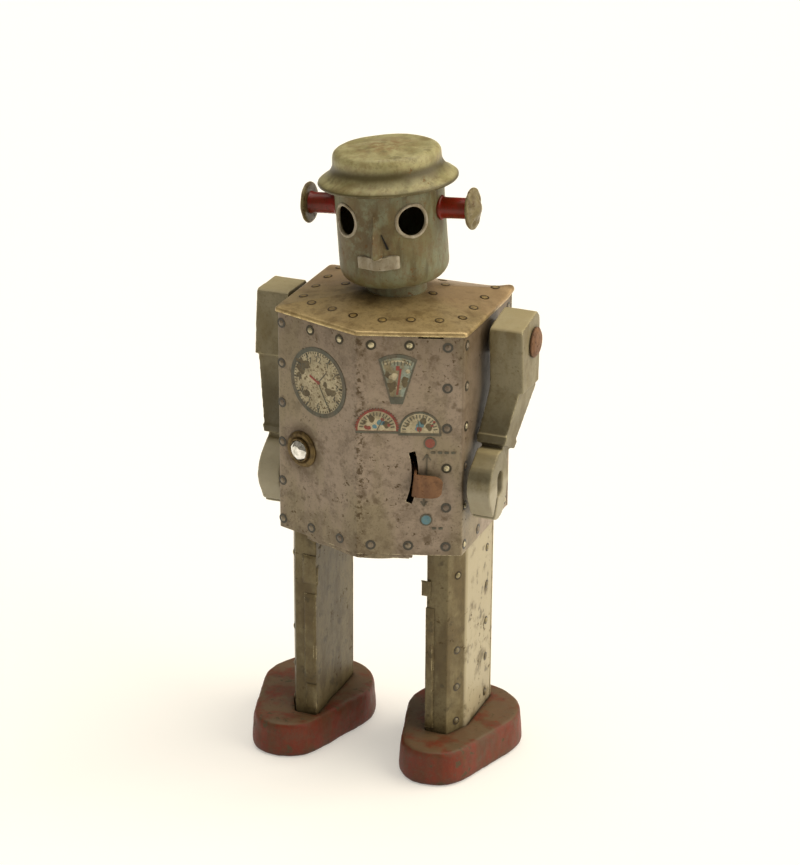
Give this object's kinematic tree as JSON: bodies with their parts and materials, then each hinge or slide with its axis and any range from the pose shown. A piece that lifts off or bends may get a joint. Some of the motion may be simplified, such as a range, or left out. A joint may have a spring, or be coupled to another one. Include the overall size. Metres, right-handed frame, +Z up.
{
  "type": "tin wind-up robot",
  "caption": "Walking tin robot toy: prow-fronted tin body, cup head with brimmed hat, cast arms on a shoulder axle and box legs on a clockwork crank.",
  "frame": {"origin": "middle of the footprint's box, on the surface that the soles stand on", "axes": "+Z up, the robot faces -Y, and +X is the robot's left"},
  "size_m": [0.0582, 0.044, 0.1252],
  "materials": {
    "litho_tin": "printed tinplate, worn satin lacquer",
    "brass_tin": "gold-lacquered tinplate, worn",
    "hat_paint": "olive khaki paint over pressed tin",
    "head_paint": "grey-green paint over pressed tin",
    "red_enamel": "red enamel",
    "pewter": "dull tarnished cast metal",
    "brass": "aged brass",
    "jewel_glass": "cut glass, foil backed",
    "steel": "turned steel",
    "spring_steel": "blued spring steel",
    "motor_plate": "plated sheet steel",
    "key_nickel": "worn nickel plate",
    "rusty_iron": "rusted mild steel",
    "cast_arm": "grey painted die-cast metal",
    "leg_paint": "grey-olive lacquered tin, corroded",
    "red_foot": "worn brick-red paint"
  },
  "bodies": {
    "body": {"front_casing": "litho_tin", "back_cover": "litho_tin", "shoulder_plate": "brass_tin", "base_plate": "litho_tin", "neck": "head_paint", "head_shell": "head_paint", "hat": "hat_paint", "ear_rods": "red_enamel", "ear_cap_left": "pewter", "ear_cap_right": "pewter", "jewel_bezel": "brass", "jewel_glass": "jewel_glass", "shoulder_axle": "steel", "arm_rivets": "rusty_iron", "motor_frame": "motor_plate", "motor_back_plate": "motor_plate", "motor_pillars": "steel", "bearing_bushes": "brass", "mainspring": "spring_steel", "lever_post": "steel", "guide_pins": "steel"},
    "left_arm": {"arm_left": "cast_arm"},
    "right_arm": {"arm_right": "cast_arm"},
    "winder": {"winding_arbor": "steel", "ratchet_wheel": "brass", "winding_key": "key_nickel"},
    "great": {"great_wheel": "brass", "click_spring": "spring_steel"},
    "second": {"second_wheel": "brass", "second_pinion": "steel"},
    "third": {"contrate_wheel": "brass", "third_pinion": "steel", "governor_wheel": "brass"},
    "fly": {"fly_pinion": "steel", "fly_vane": "motor_plate"},
    "crank": {"crankshaft": "steel", "drive_pinion": "steel", "crank_webs": "steel"},
    "left_leg": {"leg_left": "leg_paint", "leg_cover_left": "leg_paint", "hip_block_left": "steel", "foot_left": "red_foot"},
    "right_leg": {"leg_right": "leg_paint", "leg_cover_right": "leg_paint", "hip_block_right": "steel", "foot_right": "red_foot"},
    "lever": {"speed_lever": "rusty_iron"}
  },
  "joints": [
    {"name": "crank_turn", "type": "hinge", "parent": "body", "child": "crank", "pos_m": [0, -0.0036, 0.0572], "axis": [1, 0, 0], "continuous": true},
    {"name": "left_hip", "type": "hinge", "parent": "crank", "child": "left_leg", "pos_m": [0.014, -0.0027, 0.0572], "axis": [1, 0, 0], "continuous": true},
    {"name": "right_hip", "type": "hinge", "parent": "crank", "child": "right_leg", "pos_m": [-0.014, -0.0045, 0.0572], "axis": [1, 0, 0], "continuous": true},
    {"name": "third_turn", "type": "hinge", "parent": "body", "child": "third", "pos_m": [0, 0.0016, 0.0572], "axis": [0, 1, 0], "continuous": true},
    {"name": "second_turn", "type": "hinge", "parent": "body", "child": "second", "pos_m": [0.00395, 0.0016, 0.0666], "axis": [0, 1, 0], "continuous": true},
    {"name": "great_turn", "type": "hinge", "parent": "body", "child": "great", "pos_m": [0, 0.0016, 0.0792], "axis": [0, 1, 0], "continuous": true},
    {"name": "fly_turn", "type": "hinge", "parent": "body", "child": "fly", "pos_m": [-0.00671, 0.0016, 0.06107], "axis": [0, 1, 0], "continuous": true},
    {"name": "winding_turn", "type": "hinge", "parent": "body", "child": "winder", "pos_m": [0, 0.0096, 0.0792], "axis": [0, 1, 0], "continuous": true, "deforming": ["mainspring"]},
    {"name": "left_shoulder", "type": "hinge", "parent": "body", "child": "left_arm", "pos_m": [0.0211, 0.0015, 0.088], "axis": [1, 0, 0], "range_deg": [-30, 16]},
    {"name": "right_shoulder", "type": "hinge", "parent": "body", "child": "right_arm", "pos_m": [-0.0211, 0.0015, 0.088], "axis": [1, 0, 0], "range_deg": [-20, 26]},
    {"name": "lever_swing", "type": "hinge", "parent": "body", "child": "lever", "pos_m": [-0.00714, -0.01572, 0.0649], "axis": [0.3301, -0.9439, 0], "range_deg": [-7, 13]}
  ],
  "couplings": [
    {"joint": "left_hip", "follows": "crank_turn", "ratio": -1},
    {"joint": "right_hip", "follows": "crank_turn", "ratio": -1},
    {"joint": "third_turn", "follows": "crank_turn", "ratio": -0.33333},
    {"joint": "second_turn", "follows": "crank_turn", "ratio": 0.10256},
    {"joint": "great_turn", "follows": "crank_turn", "ratio": -0.022792},
    {"joint": "fly_turn", "follows": "crank_turn", "ratio": 1.1429}
  ]
}
